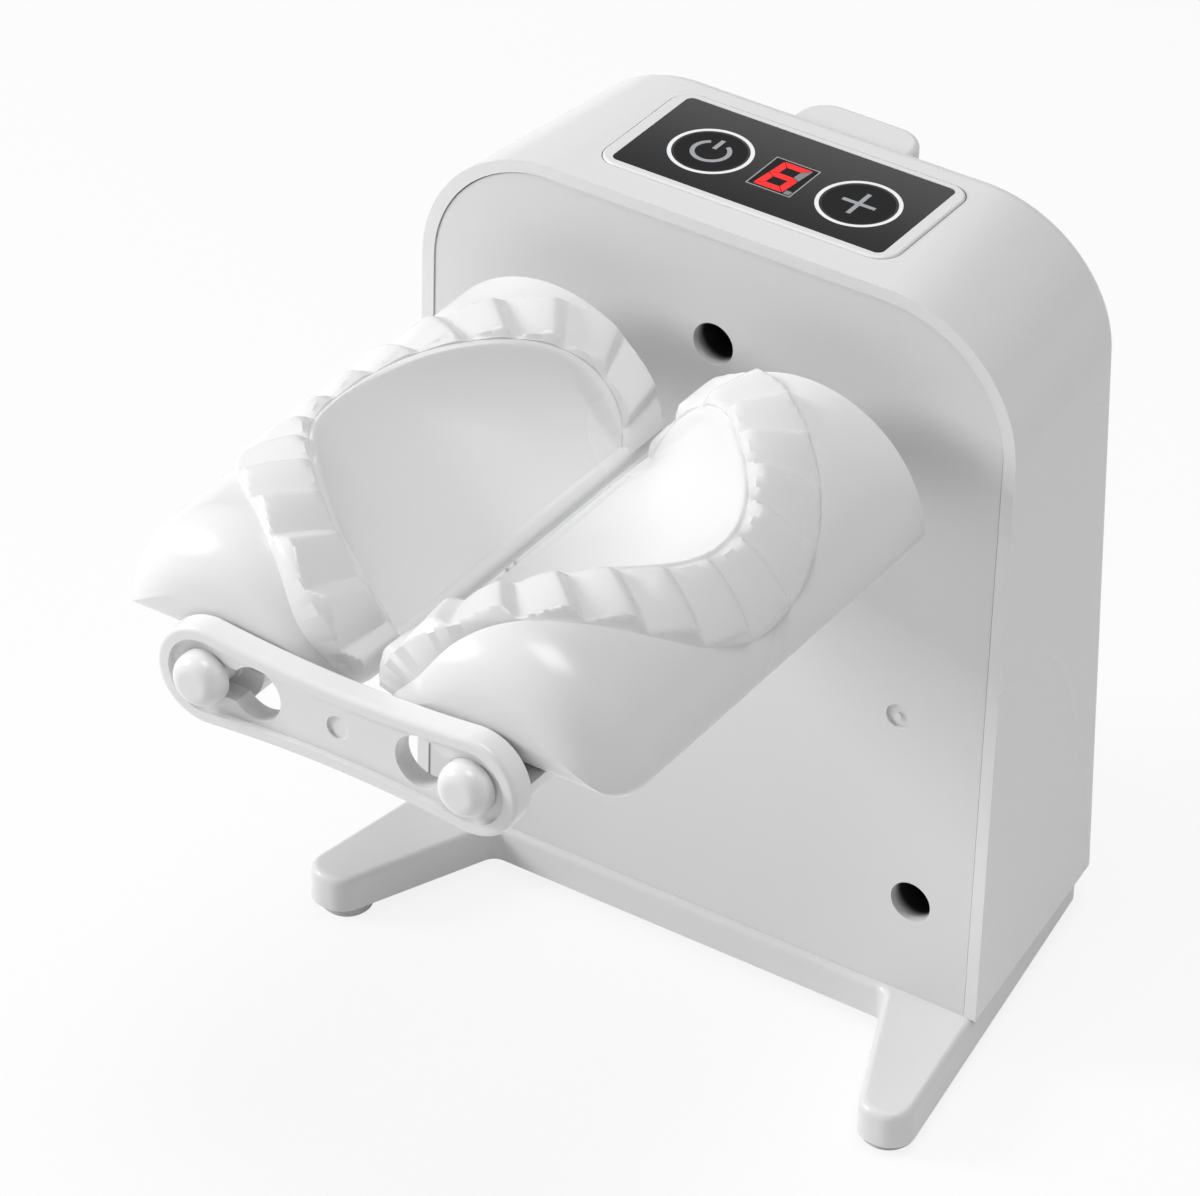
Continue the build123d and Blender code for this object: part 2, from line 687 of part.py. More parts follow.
def gear_face(teeth):
    """Outline of a spur gear whose first tooth is centred on local +x."""
    pitch_r = MODULE * teeth / 2
    base_r = pitch_r * math.cos(math.radians(PRESSURE))
    tip_r = pitch_r + ADDENDUM * MODULE
    root_r = pitch_r - DEDENDUM * MODULE
    half = (math.pi * MODULE / 2 - BACKLASH) / 2 / pitch_r
    at_pitch = involute_angle(pitch_r, base_r)
    steps = 5
    low = max(base_r, root_r)
    radii = [low + (tip_r - low) * i / (steps - 1) for i in range(steps)]
    flank = [(r, half + at_pitch - involute_angle(r, base_r)) for r in radii]
    if base_r > root_r:
        flank.insert(0, (root_r, flank[0][1]))
    points = []
    for tooth in range(teeth):
        centre = 2 * math.pi * tooth / teeth
        sides = [(r, centre - a) for r, a in flank] + [(r, centre + a) for r, a in reversed(flank)]
        points += [(r * math.cos(turn), r * math.sin(turn)) for r, turn in sides]
    return make_face(Polyline(*points, close=True))


def gear(teeth, x, z, phase, bore, depth=GEAR_DEPTH, face=GEAR_FACE):
    """Spur gear along the depth, turned by its phase in degrees."""
    plane = front_plane(depth + face, x, z)
    wheel = extrude(plane * Rot(0, 0, phase) * gear_face(teeth), face)
    return wheel - rod(bore, x, z, depth - 1, depth + face + 1)


def drive_phase(side):
    return 0.0 if side > 0 else 180.0 / DRIVE_TEETH


def idler_phase(side):
    return 180.0 / SMALL_TEETH if side > 0 else 0.0


def pinion_phase():
    """Turn of the pinion that puts its gaps on the teeth of the right idler."""
    heading = math.degrees(math.atan2(PINION_Z - AXIS_Z, PINION_X - IDLER_X))
    pitch = 360.0 / SMALL_TEETH
    return heading + 180 + pitch * (0.5 - (idler_phase(1) - heading) / pitch)


def drive_gear(side):
    wheel = gear(DRIVE_TEETH, side * AXIS_X, AXIS_Z, drive_phase(side), SHAFT_R)
    end = GEAR_DEPTH + GEAR_FACE + GEAR_HUB
    hub = rod(SHAFT_R + GEAR_HUB_WALL, side * AXIS_X, AXIS_Z, GEAR_DEPTH, end)
    return wheel + (hub - rod(SHAFT_R, side * AXIS_X, AXIS_Z, 0, end + 1))


def drive_shaft(side):
    """Shaft through the panel: flatted front end, round in its bushes."""
    back = CARRIER_DEPTH + CARRIER_T + SHAFT_TAIL
    return RAISE * (shaft_end(side, 0, 0) + rod(SHAFT_R, side * AXIS_X, 0, -ROLLER_BACK, back))


def idler_gear(side):
    phase = idler_phase(side)
    return gear(SMALL_TEETH, side * IDLER_X, AXIS_Z, phase, IDLER_PIN_R + RUN_FIT)


def idler_pins():
    pins = []
    for side in (-1, 1):
        pin = rod(IDLER_PIN_R, side * IDLER_X, AXIS_Z, GEAR_DEPTH - PIN_TIP, CARRIER_DEPTH + CARRIER_T)
        pins.append(pin)
    return pins


def motor_pinion():
    return gear(SMALL_TEETH, PINION_X, PINION_Z, pinion_phase(), OUTPUT_R)


def output_shaft():
    return rod(OUTPUT_R, PINION_X, PINION_Z, GEAR_DEPTH, CARRIER_DEPTH + CARRIER_T + OUTPUT_SEAT)


def gear_carrier():
    """Plate behind the gears, on four posts of the front panel."""
    height = CARRIER_HIGH - CARRIER_LOW
    outline = RectangleRounded(2 * CARRIER_HALF, height, CARRIER_CORNER_R)
    back = CARRIER_DEPTH + CARRIER_T
    plate = extrude(front_plane(back, 0, (CARRIER_HIGH + CARRIER_LOW) / 2) * outline, CARRIER_T)
    for side in (-1, 1):
        plate -= rod(SHAFT_R + RUN_FIT + BUSH_WALL, side * AXIS_X, AXIS_Z, CARRIER_DEPTH - 1, back + 1)
        plate -= rod(IDLER_PIN_R, side * IDLER_X, AXIS_Z, CARRIER_DEPTH - 1, back + 1)
    for x, z in panel_posts():
        plate -= rod(SMALL_SCREW_R + SCREW_FIT, x, z, CARRIER_DEPTH - 1, back + 1)
    return plate - rod(OUTPUT_R + OUTPUT_FIT, PINION_X, PINION_Z, CARRIER_DEPTH - 1, back + 1)


def carrier_screws():
    """Four small screws whose heads press the carrier on its posts."""
    back = CARRIER_DEPTH + CARRIER_T
    screws = []
    for x, z in panel_posts():
        head = rod(SMALL_HEAD_R, x, z, back, back + SMALL_HEAD_H)
        floor = back + SMALL_HEAD_H / 2
        half = SMALL_HEAD_R / 2
        head -= block(x - half, x + half, floor, back + SMALL_HEAD_H + 1, z - SLOT_HALF, z + SLOT_HALF)
        screws.append(head + rod(SMALL_SCREW_R, x, z, PANEL_RECESS + PANEL_T, back))
    return screws


def gearbox_case():
    back = CARRIER_DEPTH + CARRIER_T
    case = rod(GEARBOX_R, 0, PINION_Z, back, back + GEARBOX_T)
    return case - rod(OUTPUT_R + RUN_FIT, PINION_X, PINION_Z, back - 1, back + OUTPUT_SEAT + RUN_FIT)


def motor_can():
    """Flat-sided motor whose tail stands in the bulge of the housing."""
    start = CARRIER_DEPTH + CARRIER_T + GEARBOX_T
    end = BULGE_DEPTH - BULGE_WALL - MOTOR_GAP
    can = rod(MOTOR_H / 2, 0, PINION_Z, start, end)
    flats = block(-MOTOR_W / 2, MOTOR_W / 2, start, end, PINION_Z - MOTOR_H, PINION_Z + MOTOR_H)
    can &= flats
    return chamfer(can.faces().sort_by(Axis.Y)[-1].edges(), MOTOR_EDGE)


# Battery and electronics

def battery_cell():
    cell = Cylinder(CELL_R, CELL_L)
    place = Pos(0, FRONT_Y + CELL_DEPTH, BASE_TOP + CELL_Z) * Rot(0, 90, 0)
    cell = fillet(cell.edges(), CELL_EDGE_R)
    return place * (cell + Pos(0, 0, CELL_L / 2) * Cylinder(CELL_CAP_R, 2 * CELL_CAP))


def battery_cradle():
    """Trough that stands on the base and holds the cell."""
    outer = CELL_R + CRADLE_WALL
    body = block(-CRADLE_HALF, CRADLE_HALF, CELL_DEPTH - outer, CELL_DEPTH + outer, 0, CELL_Z)
    place = Pos(0, FRONT_Y + CELL_DEPTH, BASE_TOP + CELL_Z) * Rot(0, 90, 0)
    body -= place * Cylinder(CELL_R, 2 * CRADLE_HALF + 2)
    hollow = CELL_Z - CELL_R - CRADLE_WALL
    inside = CRADLE_HALF - CRADLE_WALL
    return body - block(-inside, inside, CELL_DEPTH - CELL_R, CELL_DEPTH + CELL_R, -1, hollow)


def board_posts():
    """Width and height of the two posts that carry the control board."""
    inset = BOARD_POST_R + 1
    return [(side * (BOARD_HALF - inset), (BOARD_LOW + BOARD_HIGH) / 2) for side in (-1, 1)]


def control_board():
    face = BOARD_DEPTH + BOARD_T
    middle = (BOARD_LOW + BOARD_HIGH) / 2
    board = block(-BOARD_HALF, BOARD_HALF, BOARD_DEPTH, face, BOARD_LOW, BOARD_HIGH)
    half = CHIP_W / 2
    board += block(-half, half, face, face + CHIP_T, middle - half, middle + half)
    half = COIL_W / 2
    board += block(COIL_X - half, COIL_X + half, face, face + COIL_T, middle - half, middle + half)
    return board + rod(CAPACITOR_R, -CAPACITOR_X, middle, face, face + CAPACITOR_L)


def charge_port():
    """Metal shell of the charging socket, its mouth at the back face."""
    shell = extrude(front_plane(PORT_MOUTH, 0, PORT_Z) * SlotOverall(PORT_W, PORT_H), PORT_L)
    inner = SlotOverall(PORT_W - 2 * PORT_WALL, PORT_H - 2 * PORT_WALL)
    shell -= extrude(front_plane(PORT_MOUTH + 1, 0, PORT_Z) * inner, PORT_L)
    half_w = PORT_TONGUE_W / 2
    half_t = PORT_TONGUE_T / 2
    tip = PORT_MOUTH - PORT_TONGUE_INSET
    return shell + block(-half_w, half_w, PORT_MOUTH - PORT_L, tip, PORT_Z - half_t, PORT_Z + half_t)


def charge_board():
    """Small board under the charging socket, on a block of the base."""
    half = CHARGE_BOARD_W / 2
    top = PORT_Z - PORT_H / 2
    return block(-half, half, PORT_MOUTH - PORT_L, PORT_MOUTH - CHARGE_BOARD_INSET, top - BOARD_T, top)


def board_rest():
    """Block on the base that carries the charging board."""
    half = CHARGE_BOARD_W / 2 - REST_MARGIN
    start = PORT_MOUTH - PORT_L + REST_INSET
    end = PORT_MOUTH - CHARGE_BOARD_INSET - REST_INSET
    return block(-half, half, start, end, 0, PORT_Z - PORT_H / 2 - BOARD_T)


# Touch panel

def frame_top():
    return HOUSING_H + FRAME_PROUD


def touch_frame():
    """Bezel clamped under the roof of the housing, with a ledge for the glass."""
    top = frame_top()
    wall_low = HOUSING_H - WALL
    plane = level_plane(wall_low, TOUCH_CENTRE)
    ring = extrude(plane * RectangleRounded(FRAME_W, FRAME_D, FRAME_R), top - wall_low)
    lower = level_plane(wall_low - FLANGE_T, TOUCH_CENTRE)
    skirt = RectangleRounded(FRAME_W, FRAME_D + 2 * FLANGE, FRAME_R)
    ring += extrude(lower * skirt, FLANGE_T)
    ring = fillet(ring.faces().sort_by(Axis.Z)[-1].edges(), FRAME_EDGE_R)
    seat = level_plane(top - GLASS_T, TOUCH_CENTRE)
    opening = RectangleRounded(GLASS_W + 2 * RUN_FIT, GLASS_D + 2 * RUN_FIT, GLASS_R)
    ring -= extrude(seat * opening, GLASS_T + 1)
    window = RectangleRounded(GLASS_W - 2 * LEDGE, GLASS_D - 2 * LEDGE, GLASS_R)
    return ring - extrude(lower.offset(-1) * window, FLANGE_T + WALL + 2)


def touch_glass():
    seat = level_plane(frame_top() - GLASS_T, TOUCH_CENTRE)
    return extrude(seat * RectangleRounded(GLASS_W, GLASS_D, GLASS_R), GLASS_T - RUN_FIT)


def digit_display():
    top = frame_top() - GLASS_T
    half_w = DISPLAY_W / 2
    half_d = DISPLAY_D / 2
    return block(-half_w, half_w, TOUCH_CENTRE - half_d, TOUCH_CENTRE + half_d, top - DISPLAY_H, top)


def touch_board():
    """Board under the glass with a copper electrode pad at each key."""
    top = frame_top() - GLASS_T - DISPLAY_H
    half_w = GLASS_W / 2 - LEDGE - BOARD_FIT
    half_d = GLASS_D / 2 - LEDGE - BOARD_FIT
    board = block(-half_w, half_w, TOUCH_CENTRE - half_d, TOUCH_CENTRE + half_d, top - BOARD_T, top)
    for side in (-1, 1):
        board += post(KEY_PAD_R, side * KEY_PAD_X, TOUCH_CENTRE, top - BOARD_T / 2, top + DISPLAY_H)
    return board


PIECES = {
    "rear_housing": rear_housing,
    "front_panel": front_panel,
    "base_plate": base_plate,
    "rubber_pads": rubber_pads,
    "panel_screws": panel_screws,
    "base_screws": base_screws,
    "carrier_screws": carrier_screws,
    "panel_bushes": panel_bushes,
    "carrier_bushes": carrier_bushes,
    "gear_carrier": gear_carrier,
    "idler_pins": idler_pins,
    "gearbox_case": gearbox_case,
    "motor_can": motor_can,
    "battery_cell": battery_cell,
    "battery_cradle": battery_cradle,
    "control_board": control_board,
    "charge_port": charge_port,
    "charge_board": charge_board,
    "board_rest": board_rest,
    "touch_frame": touch_frame,
    "touch_glass": touch_glass,
    "digit_display": digit_display,
    "touch_board": touch_board,
    "motor_pinion": motor_pinion,
    "output_shaft": output_shaft,
    "link_bar": link_bar,
}
PAIRS = {
    "drive_shaft": drive_shaft,
    "drive_gear": drive_gear,
    "idler_gear": idler_gear,
    "roller": roller,
    "roller_cover": roller_cover,
    "end_pin": end_pin,
}


def write(node, shape):
    """One STEP file per node; a list of like pieces becomes a group of separate solids."""
    if isinstance(shape, list):
        shape = Compound(children=[Part() + piece for piece in shape])
    export_step(shape, os.path.join("parts", node + ".step"))


os.makedirs("parts", exist_ok=True)
for node, make in PIECES.items():
    write(node, make())
for node, make in PAIRS.items():
    write(node + "_left", make(-1))
    write(node + "_right", make(1))
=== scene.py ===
import math
import bpy
import bmesh
import numpy as np
from mathutils import Matrix, Vector

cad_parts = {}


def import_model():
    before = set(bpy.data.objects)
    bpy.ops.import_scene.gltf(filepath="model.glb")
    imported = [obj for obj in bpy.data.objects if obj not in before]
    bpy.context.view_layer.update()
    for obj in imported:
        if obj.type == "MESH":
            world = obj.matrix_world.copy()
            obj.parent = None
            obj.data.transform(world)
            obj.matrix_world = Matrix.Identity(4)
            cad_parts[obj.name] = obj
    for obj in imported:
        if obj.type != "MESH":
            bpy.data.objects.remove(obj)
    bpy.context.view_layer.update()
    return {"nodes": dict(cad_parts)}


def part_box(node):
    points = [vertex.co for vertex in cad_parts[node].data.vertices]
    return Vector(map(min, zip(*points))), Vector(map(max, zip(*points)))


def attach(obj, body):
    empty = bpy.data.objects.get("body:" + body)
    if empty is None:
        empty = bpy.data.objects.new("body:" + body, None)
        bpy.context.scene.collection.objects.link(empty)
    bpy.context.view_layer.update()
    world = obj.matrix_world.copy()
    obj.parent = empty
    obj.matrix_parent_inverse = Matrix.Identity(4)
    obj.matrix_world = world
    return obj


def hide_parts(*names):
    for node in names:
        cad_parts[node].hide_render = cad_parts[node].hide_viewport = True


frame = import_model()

MM = 0.001
WORLD_UP = Vector((0, 0, 1))

# Camera: where it stands, where it looks and how it is tilted
EYE = Vector((0.39848, -0.62867, 0.59377))
VIEW_AZIMUTH = 32.47
VIEW_ELEVATION = 34.71
VIEW_ROLL = -1.67
LENS = 191.6
SENSOR = 36.0
NEAREST = 0.05
FARTHEST = 50.0


def place_camera():
    """Long lens at the photograph's viewing angle, rolled about its line of sight."""
    turn = math.radians(VIEW_AZIMUTH)
    tilt = math.radians(VIEW_ELEVATION)
    level = math.cos(tilt)
    ahead = Vector((-math.sin(turn) * level, math.cos(turn) * level, -math.sin(tilt)))
    right = ahead.cross(WORLD_UP).normalized()
    up = right.cross(ahead)
    basis = Matrix((right, up, -ahead)).transposed()
    roll = Matrix.Rotation(math.radians(VIEW_ROLL), 3, ahead)
    data = bpy.data.cameras.new("camera")
    data.lens = LENS
    data.sensor_width = SENSOR
    data.clip_start = NEAREST
    data.clip_end = FARTHEST
    camera = bpy.data.objects.new("camera", data)
    camera.matrix_world = Matrix.Translation(EYE) @ (roll @ basis).to_4x4()
    bpy.context.scene.collection.objects.link(camera)
    bpy.context.scene.camera = camera


place_camera()
bpy.context.scene.view_settings.view_transform = "Standard"


# Shader maths

class Wave:
    """A value socket in a node tree that takes part in plain arithmetic."""

    def __init__(self, tree, socket):
        self.tree = tree
        self.socket = socket

    def node(self, kind, settings=None, output=0, **inputs):
        """Any node: its settings are set first, then its inputs by name, or by index as i0, i1."""
        made = self.tree.nodes.new(kind)
        for key, value in (settings or {}).items():
            setattr(made, key, value)
        for key, value in inputs.items():
            spot = made.inputs[int(key[1:]) if key[1:].isdigit() else key]
            if isinstance(value, Wave):
                self.tree.links.new(value.socket, spot)
            else:
                spot.default_value = value
        return Wave(self.tree, made.outputs[output])

    def math(self, operation, *others):
        values = {"i%d" % i: other for i, other in enumerate((self,) + others)}
        return self.node("ShaderNodeMath", {"operation": operation}, **values)

    def __add__(self, other):
        return self.math("ADD", other)

    def __mul__(self, other):
        return self.math("MULTIPLY", other)

    def __sub__(self, other):
        return self.math("SUBTRACT", other)

    def __rsub__(self, other):
        return (self * -1.0).math("ADD", other)

    def clamp(self):
        return self.node("ShaderNodeClamp", None, 0, i0=self)

    def ramp(self, low, high):
        """0 below low, 1 above high, smooth between."""
        settings = {"interpolation_type": "SMOOTHSTEP"}
        return self.node("ShaderNodeMapRange", settings, 0, i0=self, i1=low, i2=high)

    __radd__ = __add__
    __rmul__ = __mul__


def rgb(level, tint=(1.0, 1.0, 1.0)):
    """A tint at a level, with full alpha."""
    return tuple(level * t for t in tint) + (1.0,)


class Finish:
    """A Principled material with helpers for the patterns on it."""

    def __init__(self, name, **sockets):
        self.material = bpy.data.materials.new(name)
        self.material.use_nodes = True
        self.tree = self.material.node_tree
        self.shader = self.tree.nodes["Principled BSDF"]
        self.start = Wave(self.tree, None)
        self.place = self.start.node("ShaderNodeTexCoord", None, 3)
        for key, value in sockets.items():
            self.shader.inputs[key.replace("_", " ")].default_value = value

    def noise(self, scale, detail=3.0, rough=0.5):
        values = {"Vector": self.place, "Scale": scale, "Detail": detail, "Roughness": rough}
        return self.start.node("ShaderNodeTexNoise", None, 0, **values)

    def depth(self):
        """How far back a point lies, along y."""
        return self.start.node("ShaderNodeSeparateXYZ", None, 1, Vector=self.place)

    def mix(self, factor, low, high):
        """Colour between two colours by a factor."""
        settings = {"data_type": "RGBA"}
        return self.start.node("ShaderNodeMix", settings, 2, i0=factor, i6=low, i7=high)

    def feed(self, name, value):
        """Link a value or colour that changes over the surface to a socket of the shader."""
        self.tree.links.new(value.socket, self.shader.inputs[name])

    def bump(self, height, distance, strength=1.0):
        """Fine relief from a height, felt by the gloss only."""
        values = {"Strength": strength, "Distance": distance, "Height": height}
        self.feed("Normal", self.start.node("ShaderNodeBump", None, 0, **values))


MOTTLE_SCALE = 9.0
GRAIN_SCALE = 500.0
GRAIN_DEPTH = 0.006 * MM
GRAIN_STRENGTH = 0.1
GLOSS_SPREAD = 0.08
HOLE_SHADE_START = 0.8 * MM
HOLE_SHADE_END = 3.0 * MM
HOLE_SHADE_LEVEL = 0.02
STREAK_SCALE = 900.0
STREAK_DEPTH = 0.01 * MM
HAZE_SCALE = 60.0
REFLECTION_START = 28.0 * MM
REFLECTION_END = 60.0 * MM
INK_SCALE = 700.0
RUBBER_SCALE = 2200.0
RUBBER_DEPTH = 0.05 * MM


def moulded(name, level, tint=(1.0, 1.0, 1.0), rough=0.3, spread=0.03, hole_shade_face=None):
    """Injection-moulded plastic: faint cloudiness, uneven gloss, fine orange peel, and, when a face is
    given, painted shade that darkens its holes.
    """
    finish = Finish(name, IOR=1.46)
    cloud = finish.noise(MOTTLE_SCALE, 0.0)
    grain = finish.noise(GRAIN_SCALE, 2.0)
    colour = finish.mix(cloud, rgb(level * (1 - spread), tint), rgb(level, tint))
    if hole_shade_face is not None:
        # Painted shade: the colour turns near-black behind the face, deep in the holes, where shade
        # would fall.
        inside = finish.depth().ramp(hole_shade_face + HOLE_SHADE_START, hole_shade_face + HOLE_SHADE_END)
        colour = finish.mix(inside, colour, rgb(HOLE_SHADE_LEVEL))
    finish.feed("Base Color", colour)
    finish.feed("Roughness", rough + (cloud - 0.5) * GLOSS_SPREAD)
    finish.bump(grain, GRAIN_DEPTH, GRAIN_STRENGTH)
    return finish.material


def metal(name, colour, rough):
    """Turned or plated metal: fine streaks in its gloss."""
    finish = Finish(name, Metallic=1.0)
    streak = finish.noise(STREAK_SCALE, 2.0)
    finish.feed("Base Color", finish.mix(streak, rgb(0.92, colour), rgb(1.0, colour)))
    finish.feed("Roughness", rough + streak * 0.12)
    finish.bump(streak, STREAK_DEPTH, 0.4)
    return finish.material


def black_glass():
    """Polished black panel: deep black with a faint random haze, and a painted reflection that makes it
    paler towards its back edge.
    """
    finish = Finish("black_glass", IOR=1.45)
    haze = finish.noise(HAZE_SCALE, 3.0)
    painted_reflection = finish.depth().ramp(REFLECTION_START, REFLECTION_END)
    deep = finish.mix(haze, rgb(0.016), rgb(0.022))
    # Painted reflection: the colour goes paler towards the back edge.
    finish.feed("Base Color", finish.mix(painted_reflection, deep, rgb(0.085)))
    finish.feed("Roughness", 0.16 + haze * 0.06)
    return finish.material


def printed(name, colour, rough=0.4, glow=0.0):
    """Ink or lit film under a clear face; glow makes it emit, which on ink is a painted glow."""
    finish = Finish(name, Emission_Strength=glow)
    mottle = finish.noise(INK_SCALE, 2.0)
    body = finish.mix(mottle, rgb(0.92, colour), rgb(1.0, colour))
    finish.feed("Base Color", body)
    finish.feed("Emission Color", body)
    finish.feed("Roughness", rough + mottle * 0.1)
    return finish.material


def rubber():
    """Matt moulded rubber with a fine grain."""
    finish = Finish("grey_rubber")
    grain = finish.noise(RUBBER_SCALE, 3.0)
    finish.feed("Base Color", finish.mix(grain, rgb(0.50), rgb(0.58)))
    finish.feed("Roughness", 0.75 + grain * 0.15)
    finish.bump(grain, RUBBER_DEPTH, 0.6)
    return finish.material


PANEL_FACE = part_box("front_panel")[0][1]
WHITE = moulded("gloss_white", 0.82, (1.0, 1.0, 1.003), 0.27, 0.02)
SATIN = moulded("satin_white", 0.76, (1.0, 1.0, 1.005), 0.36, 0.03)
PANEL_WITH_HOLE_SHADE = moulded("panel_white_hole_shade", 0.76, (1.0, 1.0, 1.005), 0.36, 0.03, PANEL_FACE)
GEAR = moulded("natural_acetal", 0.72, (1.0, 0.98, 0.92), 0.4, 0.05)
INNER = moulded("grey_frame", 0.5, (1.0, 1.01, 1.03), 0.45, 0.05)
SLEEVE = moulded("cell_sleeve", 0.35, (0.35, 0.7, 1.3), 0.3, 0.1)
BOARD = moulded("board_green", 0.2, (0.3, 1.3, 0.6), 0.45, 0.2)
STEEL = metal("plated_steel", (0.62, 0.62, 0.64), 0.25)
# Painted shade: the panel screws are made near-black to stand for the shade in the deep holes they sit
# in.
SCREWS_AS_HOLE_SHADE = metal("screws_dark_as_hole_shade", (0.07, 0.07, 0.075), 0.4)
BRONZE = metal("sintered_bronze", (0.70, 0.52, 0.30), 0.35)
RUBBER = rubber()
GLASS = black_glass()
DARK = printed("smoked_window", (0.006, 0.006, 0.007), 0.3)
# Painted glow: the white ink emits faintly, though it is no lamp.
INK_WITH_PAINTED_GLOW = printed("white_ink_painted_glow", (0.85, 0.86, 0.88), 0.35, 0.15)
GREY_INK = printed("grey_ink", (0.42, 0.43, 0.45), 0.35)
LIT = printed("red_segment", (0.85, 0.02, 0.02), 0.3, 0.75)
UNLIT = printed("grey_segment", (0.30, 0.28, 0.29), 0.3)

NODE_FINISH = {
    "rear_housing": WHITE, "front_panel": PANEL_WITH_HOLE_SHADE, "base_plate": SATIN, "touch_frame": WHITE,
    "link_bar": WHITE, "roller_left": WHITE, "roller_right": WHITE, "roller_cover_left": WHITE,
    "roller_cover_right": WHITE, "end_pin_left": WHITE, "end_pin_right": WHITE,
    "rubber_pads": RUBBER, "panel_screws": SCREWS_AS_HOLE_SHADE,
    "base_screws": STEEL, "carrier_screws": STEEL, "idler_pins": STEEL, "output_shaft": STEEL,
    "charge_port": STEEL, "drive_shaft_left": STEEL, "drive_shaft_right": STEEL, "motor_can": STEEL,
    "gearbox_case": STEEL, "panel_bushes": BRONZE, "carrier_bushes": BRONZE, "gear_carrier": INNER,
    "battery_cradle": INNER, "board_rest": INNER, "battery_cell": SLEEVE, "control_board": BOARD,
    "charge_board": BOARD, "touch_board": BOARD, "touch_glass": GLASS, "digit_display": DARK,
    "drive_gear_left": GEAR, "drive_gear_right": GEAR, "idler_gear_left": GEAR, "idler_gear_right": GEAR,
    "motor_pinion": GEAR,
}
for node, obj in frame["nodes"].items():
    obj.data.materials.clear()
    obj.data.materials.append(NODE_FINISH[node])


# Mesh helpers

SAME_POINT = 0.001 * MM
SHARP = math.radians(38.0)


def sheet_faces(rows, columns, wrap):
    """Quads of a grid of points, rows by columns, wrapped across the columns if asked."""
    i = np.arange(rows - 1)[:, None]
    j = np.arange(columns if wrap else columns - 1)[None, :]
    k = (j + 1) % columns
    here, below = i * columns, (i + 1) * columns
    return np.stack((here + j, here + k, below + k, below + j), -1).reshape(-1, 4)


def make_piece(name, shells, side, material, body):
    """One mesh of several grids, each wrapped or not, about its roller's axis and riding on a body."""
    points, faces, start = [], [], 0
    for grid, wrap in shells:
        rows, columns = grid.shape[:2]
        points.append(place(grid, side).reshape(-1, 3))
        faces.append(sheet_faces(rows, columns, wrap) + start)
        start += rows * columns
    mesh = bpy.data.meshes.new(name)
    mesh.from_pydata(np.concatenate(points).tolist(), [], np.concatenate(faces).tolist())
    mesh.validate()
    piece = bpy.data.objects.new(name, mesh)
    bpy.context.scene.collection.objects.link(piece)
    work = bmesh.new()
    work.from_mesh(mesh)
    bmesh.ops.remove_doubles(work, verts=work.verts, dist=SAME_POINT)
    bmesh.ops.recalc_face_normals(work, faces=work.faces)
    work.to_mesh(mesh)
    work.free()
    mesh.shade_smooth()
    mesh.set_sharp_from_angle(angle=SHARP)
    mesh.materials.append(material)
    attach(piece, body)
    return piece


# Rollers

SHAFT_LOW, SHAFT_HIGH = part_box("drive_shaft_right")
ROLLER_LOW, ROLLER_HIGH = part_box("roller_right")
AXIS_X = (SHAFT_LOW[0] + SHAFT_HIGH[0]) / 2
AXIS_Z = SHAFT_LOW[2] + 4.0 * MM
RADIUS = 19.7 * MM
FLAT = 1.0 * MM
CORNER = 3.0 * MM
NOSE = 9.0 * MM
FRONT = ROLLER_LOW[1]
END_GAP = 6.2 * MM
BACK = ROLLER_HIGH[1] - END_GAP
MIDDLE = FRONT + 41.3 * MM

# Grid of the body: points on the big arc, a corner and a side of the flat, rows on nose, barrel and caps
ARC_COLUMNS = 260
CORNER_COLUMNS = 11
SIDE_COLUMNS = 4
NOSE_ROWS = 26
BARREL_ROWS = 240
CAP_ROWS = 9
CORNER_MIN = 0.05 * MM
THIN_STEP = 0.01 * MM

# Unrolled plan of the mould: distance u around the roller from the lip, v along it from the middle
LIP = math.radians(14.0)
LIP_W = math.radians(8.0)
LIP_RISE = 1.25 * MM
LIP_REACH = 33.0 * MM
RING_U = 8.2 * MM
BOWL_U = 27.9 * MM
BOWL_V = 28.9 * MM
BAND_U = 41.7 * MM
BAND_V = 40.0 * MM
SQUARENESS = 0.09
DISH_AXIS = 57.0 * MM
RIM_SOFT = 0.35 * MM
RIM_TRIM = 0.02 * MM
DISH_REACH = 1.4
DISH_STOP = 1.35
DISH_SHUT = -1.0 * MM
DISH_END_OUT = -0.4 * MM
DISH_END_IN = 2.2 * MM
DISH_END_SHUT = 0.5 * MM

# Pleated band: columns a pleat, share of each fold that rises and falls, slopes of its two sides
PLEATS = 15
RIDGE = 1.62 * MM
VALLEY = 0.25 * MM
SKIRT = 1.5 * MM
PLEAT_COLUMNS = 26
BAND_TURN = math.radians(106)
BAND_INSET = 0.9 * MM
BAND_MEETS_LIP = 1.3 * MM
BAND_BACK_GAP = 0.1 * MM
BAND_EDGES = ((0.0, 0.0, 0.02), (0.9, 0.94, 0.98, 1.0, 1.0))
BAND_ACROSS = np.concatenate((BAND_EDGES[0], np.linspace(0.06, 0.86, 12), BAND_EDGES[1]))
BAND_END = 0.9999
RISE_END = 0.7
RISE_ROUND = 0.3
FALL_START = 0.76
FALL_ROUND = 0.4
OUTER_SLOPE = 0.03
OUTER_SPREAD = 0.13
INNER_SLOPE = 0.05
INNER_DROP = 0.75

# Straight lip along the nip
LIP_ROWS = 60
LIP_COLUMNS = 18
LIP_TAPER = 16
LIP_TUCK = 0.01

